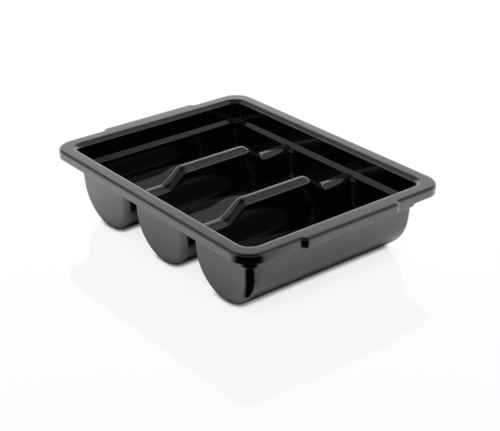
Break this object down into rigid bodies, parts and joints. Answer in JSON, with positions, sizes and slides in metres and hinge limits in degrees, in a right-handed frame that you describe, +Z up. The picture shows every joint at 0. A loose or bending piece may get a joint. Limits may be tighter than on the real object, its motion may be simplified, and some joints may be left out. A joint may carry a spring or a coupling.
{
  "type": "cutlery tray",
  "caption": "Open rectangular tray with round-bottomed troughs, low dividers, an inner ledge and a turned-down rim with grips, for sorting and serving knives, forks and spoons.",
  "frame": {"origin": "centre of the footprint, on the surface that the troughs stand on", "axes": "+Z up, X across the troughs with +X to the right seen from the front, Y along the troughs with the front at -Y"},
  "size_m": [0.398, 0.3, 0.094],
  "materials": {
    "moulding": "black injection-moulded plastic, glossy, with faint flow waviness and light handling wear"
  },
  "bodies": {
    "root": {"rim_flange": "moulding", "front_skirt": "moulding", "back_skirt": "moulding", "left_grip": "moulding", "right_grip": "moulding", "upper_wall": "moulding", "ledge": "moulding", "left_trough": "moulding", "middle_trough": "moulding", "right_trough": "moulding", "left_divider": "moulding", "right_divider": "moulding"}
  },
  "joints": []
}
